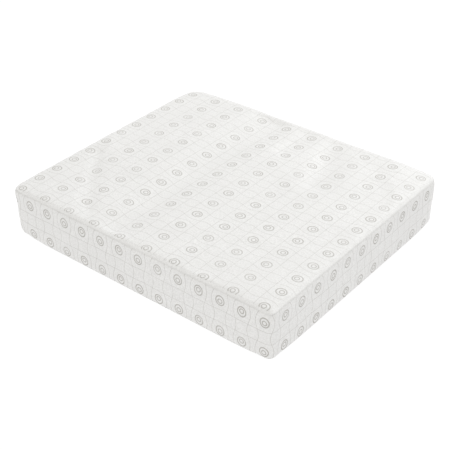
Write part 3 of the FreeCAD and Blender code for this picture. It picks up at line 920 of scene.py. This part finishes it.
def cover_pieces(cover, top_cloth, side_cloth):
    """The panels of the cover: top, base, the strip round the sides, and the zip's two borders."""
    grid, low, high, left, right = cover.grid, cover.low_seam, cover.high_seam, cover.left, cover.right
    inner = cover.points - cover.normals * CLOTH
    inner[:, 2] = np.where(cover.points[:, 2] < CLOTH, np.maximum(inner[:, 2], 0.2 * MM), inner[:, 2])
    rear = grid.quads("rear", low, high + 1)
    strip = [grid.quads(side, low, high + 1) for side in ("front", "left", "right")]
    strip += [rear[:left], rear[right:]]
    upper = [grid.quads("rear", cover.level(WINDOW_TOP), high + 1)[left:right]]
    lower = [grid.quads("rear", low, cover.level(WINDOW_BASE) + 1)[left:right]]
    around = along_strip(cover.facts, True)
    plan = (2 * (HALF_X + PANEL_EDGE), 2 * (HALF_Y + PANEL_EDGE))
    strip_size = (around.max() - around.min() - 2 * WINDOW_X, TOP_SEAM_RISE - BASE_SEAM_Z)
    upper_size = (2 * WINDOW_X, TOP_SEAM_RISE - WINDOW_TOP)
    lower_size = (2 * WINDOW_X, WINDOW_BASE - BASE_SEAM_Z)
    top_uv = top_print(cover.flat, cover.facts)
    cut_uv, strip_uv = strip_print(cover.facts, cut_at_left=True), strip_print(cover.facts)
    panels = (
        ("cover_top", "cover_top_panel", [grid.quads("top")] + grid.walls(high), top_uv, plan),
        ("cover_base", "cover_base_panel", [grid.quads("base")] + grid.walls(0, low + 1), top_uv, plan),
        ("cover_side_strip", "cover_border_strip", strip, cut_uv, strip_size),
        ("cover_zip_border_upper", "zip_border_upper", upper, strip_uv, upper_size),
        ("cover_zip_border_lower", "zip_border_lower", lower, strip_uv, lower_size),
    )
    top_of_band = TOP_SEAM_RISE + BAND_WIDTH - 0.1 * MM
    for name, node, parts, uv, flat in panels:
        quads = joined(parts)
        cloth, plain = side_cloth, None
        if name == "cover_top":
            cloth, plain = top_cloth, cover.facts["rise"][quads].min(axis=1) < top_of_band
        piece = cloth_piece(name, quads, cover.points, inner, cloth, uv, plain)
        finished_piece(piece, node)


def block_grid(low, high, margins, step, extra=((), (), ())):
    """A grid over a box, with marks a few margins in from every side where the box is wide enough."""
    axes = []
    for a, b, more in zip(low, high, extra):
        inside = [m for m in margins if m < 0.4 * (b - a)]
        marks = {a, b} | {a + m for m in inside} | {b - m for m in inside} | set(more)
        axes.append(ticks(sorted(marks), step))
    return BoxGrid(*axes)


def end_tabs(cloth):
    """A small folded patch of the cover's cloth over each end of the zip."""
    for node in ("zip_end_tab_left", "zip_end_tab_right"):
        low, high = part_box(node)
        grid = block_grid(low, high, [0.3 * MM, 1.0 * MM, 2.2 * MM], 2.0 * MM)
        quads = grid.skin()
        x, y, z = grid.places.T
        from_end = bump(np.minimum(x - low.x, high.x - x), 2.4 * MM)
        from_side = bump(np.minimum(z - low.z, high.z - z), 2.4 * MM)
        swell = 0.5 * MM * (1 - from_end) * (1 - from_side)
        points = np.column_stack([x, y + swell + waves(x, z, TAB_CREASES) * (swell > 0), z])
        uv = np.column_stack([HALF_X - x, z - STRIP_ROW_Z])[quads]
        piece = new_object("cover_" + node, points, quads, cloth, uv)
        finished_piece(piece, node)


def zip_tapes(material):
    """The zip's woven tapes, each with a thicker edge beside the teeth and a slight ripple."""
    for side in ("upper", "lower"):
        node = "zip_tape_" + side
        low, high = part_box(node)
        grid = block_grid(low, high, [0.4 * MM, 1.2 * MM], 1.6 * MM)
        x, y, z = grid.places.T
        from_edge = np.abs(z - (low.z if side == "upper" else high.z))
        middle = (low.y + high.y) / 2
        ripple = 0.1 * MM * np.sin(x / (5.5 * MM)) * bump(from_edge - 8 * MM, 4 * MM)
        thickness = 0.75 + 0.25 * bump(from_edge - 0.8 * MM, 0.8 * MM)
        points = np.column_stack([x, middle + (y - middle) * thickness + ripple, z])
        piece = new_object("zip_woven_tape_" + side, points, grid.skin(), material)
        finished_piece(piece, node)


def stitches(name, lines, material, node):
    """Short stitches along each line of (points, outward normals), sunk a little at their ends."""
    sides, rings = 6, 7
    turn = np.arange(sides)[:, None] * 2 * math.pi / sides
    share = np.linspace(0, 1, rings)
    thickness = THREAD_RADIUS * np.sin(math.pi * np.clip(share, 0.06, 0.94)) ** 0.35
    arch = THREAD_RADIUS * (1.2 * np.sin(math.pi * share) - 0.5)
    all_points, all_faces = [], []
    for points, normals in lines:
        gaps = np.linalg.norm(np.diff(points, axis=0), axis=1)
        along = np.concatenate([[0], np.cumsum(gaps)])
        for number in range(int(along[-1] // STITCH_PITCH)):
            at = number * STITCH_PITCH + (STITCH_PITCH - STITCH_LENGTH) / 2 + STITCH_LENGTH * share
            centre, up = (
                np.column_stack([np.interp(at, along, column) for column in values.T])
                for values in (points, normals)
            )
            forward = centre[-1] - centre[0]
            side = np.cross(forward / np.linalg.norm(forward), up)
            side /= np.linalg.norm(side, axis=1)[:, None]
            tilt = 0.25 * THREAD_RADIUS * math.sin(number * 2.4)
            centre = centre + up * arch[:, None] + side * (tilt * (share - 0.5))[:, None]
            rim = side[:, None] * np.cos(turn) + up[:, None] * np.sin(turn)
            index = len(all_points) * rings * sides + np.arange(rings * sides).reshape(rings, sides)
            beside = np.roll(index, -1, axis=1)
            all_points.append((centre[:, None] + rim * thickness[:, None, None]).reshape(-1, 3))
            all_faces.extend(np.dstack([index[:-1], beside[:-1], beside[1:], index[1:]]).reshape(-1, 4))
            all_faces += [index[0, ::-1], index[-1]]
    piece = new_object(name, np.concatenate(all_points), all_faces, material)
    finished_piece(piece, node)


def seam_stitches(cover, material):
    """The stitching along the two seams, beside the zip and at the zip panel's ends."""
    def line(chosen, lift=0.0):
        return cover.points[chosen] + cover.normals[chosen] * lift, cover.soft_normals[chosen]

    rear = cover.grid.index[:, -1]
    low, high, left, right = cover.low_seam, cover.high_seam, cover.left, cover.right
    stitches("top_seam_stitches", [line(cover.ring(high), 0.15 * MM)], material, "top_seam_thread")
    stitches("base_seam_stitches", [line(cover.ring(low), 0.15 * MM)], material, "base_seam_thread")
    ends = [line(rear[i, low + 1:high], 0.1 * MM) for i in (left, right)]
    stitches("zip_end_stitches", ends, material, "zip_panel_end_threads")
    for side, sign in (("upper", 1), ("lower", -1)):
        row = [line(rear[left + 1:right, cover.level(ZIP_Z + sign * STITCH_ROW)])]
        stitches("zip_top_stitches_" + side, row, material, "zip_stitch_" + side)


def wadding_pieces(cover, material):
    """Mats of fibre over the top, under the base and round the sides, with room for the zip."""
    grid, (x, y, z) = cover.grid, cover.grid.places.T
    near_seam = bump(cover.facts["rise"] - TOP_SEAM_RISE, 3.5 * MM)
    channel = soft_step(WINDOW_X - 4 * MM - np.abs(x), MM) * (y > HALF_Y - 1e-6)
    channel = channel * soft_step(8.2 * MM - np.abs(z - ZIP_Z), 0.5 * MM)
    tuft = np.abs(waves(x + z, y - z, WADDING_TUFTS)) * (1 - channel)
    outer = cover.under(WADDING_OUTER + 0.7 * MM * near_seam + 2.7 * MM * channel + tuft)
    inner = cover.under(WADDING_INNER)
    low, high = cover.level(WRAP_BASE), cover.high_seam
    first_x, last_x = np.flatnonzero(np.abs(grid.xs) < HALF_X - 9 * MM)[[0, -1]]
    first_y, last_y = np.flatnonzero(np.abs(grid.ys) < HALF_Y - 9 * MM)[[0, -1]]
    parts = {
        "wadding_top": [grid.quads("top")] + grid.walls(high + 1),
        "wadding_side_wrap": grid.walls(low, high),
        "wadding_base": [grid.quads("base")[first_x:last_x, first_y:last_y]],
    }
    for node, quads in parts.items():
        piece = cloth_piece("fibre_" + node, joined(quads), outer, inner, material)
        finished_piece(piece, node)


def foam_block(node, material, seed, corners=(), slots=None, sink=0.0):
    """A cut block of foam with softened edges and slightly wavy faces."""
    gap = Vector((FOAM_GAP,) * 3)
    low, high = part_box(node)[0] + gap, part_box(node)[1] - gap
    radii = {(sx, sy): 1.2 * FOAM_EDGE for sx in (-1, 1) for sy in (-1, 1)}
    for corner in corners:
        radii[corner] = CORNER_RADII[corner] - 6.5 * MM
    extra = ((), (), ())
    if slots:
        extra = tuple(slot_marks(a, b, n) for a, b, n in zip(low[:2], high[:2], slots)) + ((),)
    grid = block_grid(low, high, [0.5 * FOAM_EDGE, FOAM_EDGE, max(radii.values())], 7 * MM, extra)
    quads = grid.skin()
    points, _ = rounded(grid.places, low, high, radii, FOAM_EDGE, FOAM_EDGE)
    normals = vertex_normals(points, quads)
    x, y, z = points.T
    wave = value_noise(x + z, y + 0.7 * z, 38 * MM, seed)
    fine = value_noise(x - z, y + z, 9 * MM, seed + 1)
    points -= normals * (MM * (0.3 + 0.25 * wave + 0.1 * fine))[:, None]
    share = (points[:, 2] - low.z) / (high.z - low.z)
    if slots:
        cuts = [slot_depth(grid.places[:, i], low[i], high[i], slots[i]) for i in (0, 1)]
        points[:, 2] -= share * np.maximum(*cuts)
    if sink:
        points[:, 2] += share * np.minimum(top_relief(points), 0) - share * sink
    points += corner_shift(points)
    piece = new_object("cut_" + node, points, quads, material)
    finished_piece(piece, node)


def slot_marks(low, high, cells):
    """Grid marks at the walls of the slots between cells."""
    pitch = (high - low) / cells
    half = SLOT_WIDTH / 2
    offsets = (-half - MM, -half, -half + 0.5 * MM, 0.0, half - 0.5 * MM, half, half + MM)
    return [low + pitch * i + offset for i in range(1, cells) for offset in offsets]


def slot_depth(place, low, high, cells):
    """How deep the slots cut at each place: steep walls, a rounded lip and a flat floor."""
    pitch = (high - low) / cells
    number = np.clip(np.round((place - low) / pitch), 1, cells - 1)
    away = np.abs(place - low - pitch * number)
    lip = 0.9 * MM * bump(np.maximum(away - SLOT_WIDTH / 2, 0), 0.9 * MM)
    return np.where(away < SLOT_WIDTH / 2 - 0.2 * MM, SLOT_DEPTH, lip)


# ---- light and camera

def add_floor():
    """A wide pale floor just below the pad."""
    half = FLOOR_HALF
    corners = [(-half, -half, 0), (half, -half, 0), (half, half, 0), (-half, half, 0)]
    floor = new_object("floor", corners, [(0, 1, 2, 3)], pale_floor())
    floor.location.z = -FLOOR_DROP


def add_light():
    """A pale room, brighter above and in front, with a low light and a soft lamp at the rear."""
    scene = bpy.context.scene
    scene.view_settings.view_transform = "Standard"
    n = Nodes("studio", "worlds")
    toward = n.node("VectorMath")
    toward.operation = "DOT_PRODUCT"
    n.feed(toward.inputs[0], n.node("TexCoord").outputs["Generated"])
    n.feed(toward.inputs[1], WORLD_TOWARD)
    share = n.node("MapRange", Value=toward.outputs["Value"], From_Min=-1.0).outputs[0]
    n.feed(n.tree.nodes["Background"].inputs["Color"], n.mix(share, WORLD_BEHIND, WORLD_BEFORE))
    scene.world = n.owner
    low_light = bpy.data.lights.new("low_light", "SUN")
    low_light.energy = LOW_LIGHT_POWER
    low_light.color = LOW_LIGHT_COLOUR
    low_light.angle = LOW_LIGHT_SPREAD
    lamp = bpy.data.lights.new("soft_lamp", "AREA")
    lamp.energy = LAMP_POWER
    lamp.size = LAMP_SIZE
    for light, place in ((low_light, LOW_LIGHT_TOWARD * 4), (lamp, LAMP_PLACE)):
        holder = bpy.data.objects.new(light.name, light)
        holder.location = place
        holder.rotation_euler = place.to_track_quat("Z", "Y").to_euler()
        scene.collection.objects.link(holder)


def add_camera():
    """The camera, at the photograph's angle."""
    flat = math.cos(CAMERA_ELEVATION)
    across, ahead = -math.sin(CAMERA_AZIMUTH) * flat, math.cos(CAMERA_AZIMUTH) * flat
    forward = Vector((across, ahead, -math.sin(CAMERA_ELEVATION)))
    turned = forward.to_track_quat("-Z", "Y").to_matrix() @ Matrix.Rotation(CAMERA_ROLL, 3, "Z")
    data = bpy.data.cameras.new("camera")
    data.lens = CAMERA_LENS
    data.sensor_width = 36
    data.clip_end = 50
    camera = bpy.data.objects.new("camera", data)
    camera.matrix_world = Matrix.Translation(CAMERA_PLACE) @ turned.to_4x4()
    bpy.context.scene.collection.objects.link(camera)
    bpy.context.scene.camera = camera


# ---- everything together

# The top's cloth has paler ink than the sides': painted sheen standing in for the gloss over the top.
top_cloth = printed_cloth("printed_cloth_top_painted_sheen", TOP_INK_WITH_PAINTED_SHEEN)
side_cloth = printed_cloth("printed_cloth_sides", SIDE_INK)
thread_material = sewing_thread()
firm_foam = open_foam("firm_foam", (0.66, 0.70, 0.74, 1), (0.58, 0.63, 0.68, 1), 1.0 * MM)
cell_foam = open_foam("cell_foam", (0.82, 0.80, 0.70, 1), (0.74, 0.71, 0.60, 1), 1.2 * MM)
visco_foam = open_foam("visco_foam", (0.86, 0.83, 0.74, 1), (0.80, 0.76, 0.66, 1), 0.6 * MM)

cover = Cover()
cover_pieces(cover, top_cloth, side_cloth)
end_tabs(side_cloth)
seam_stitches(cover, thread_material)
wadding_pieces(cover, fibre_wadding())
zip_tapes(woven_tape())
foam_block("foam_base_layer", firm_foam, 50, corners=CORNER_RADII)
bolster_corners = {"front": [(-1, -1), (1, -1)], "rear": [(-1, 1), (1, 1)], "left": [], "right": []}
for seed, (side, corners) in zip(range(52, 60, 2), bolster_corners.items()):
    foam_block("foam_bolster_" + side, firm_foam, seed, corners=corners, sink=FOAM_SINK)
foam_block("castellated_foam_layer", cell_foam, 60, slots=(11, 9))
foam_block("visco_foam_layer", visco_foam, 62, sink=FOAM_SINK)

finishes = (
    (moulded_plastic(), ("zip_teeth_upper", "zip_teeth_lower", "zip_top_stops", "zip_bottom_stop")),
    (coated_metal(), ("zip_slider_body", "zip_pull_tab")),
)
for material, nodes in finishes:
    for node in nodes:
        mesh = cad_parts[node].data
        mesh.materials.clear()
        mesh.materials.append(material)

add_floor()
add_light()
add_camera()
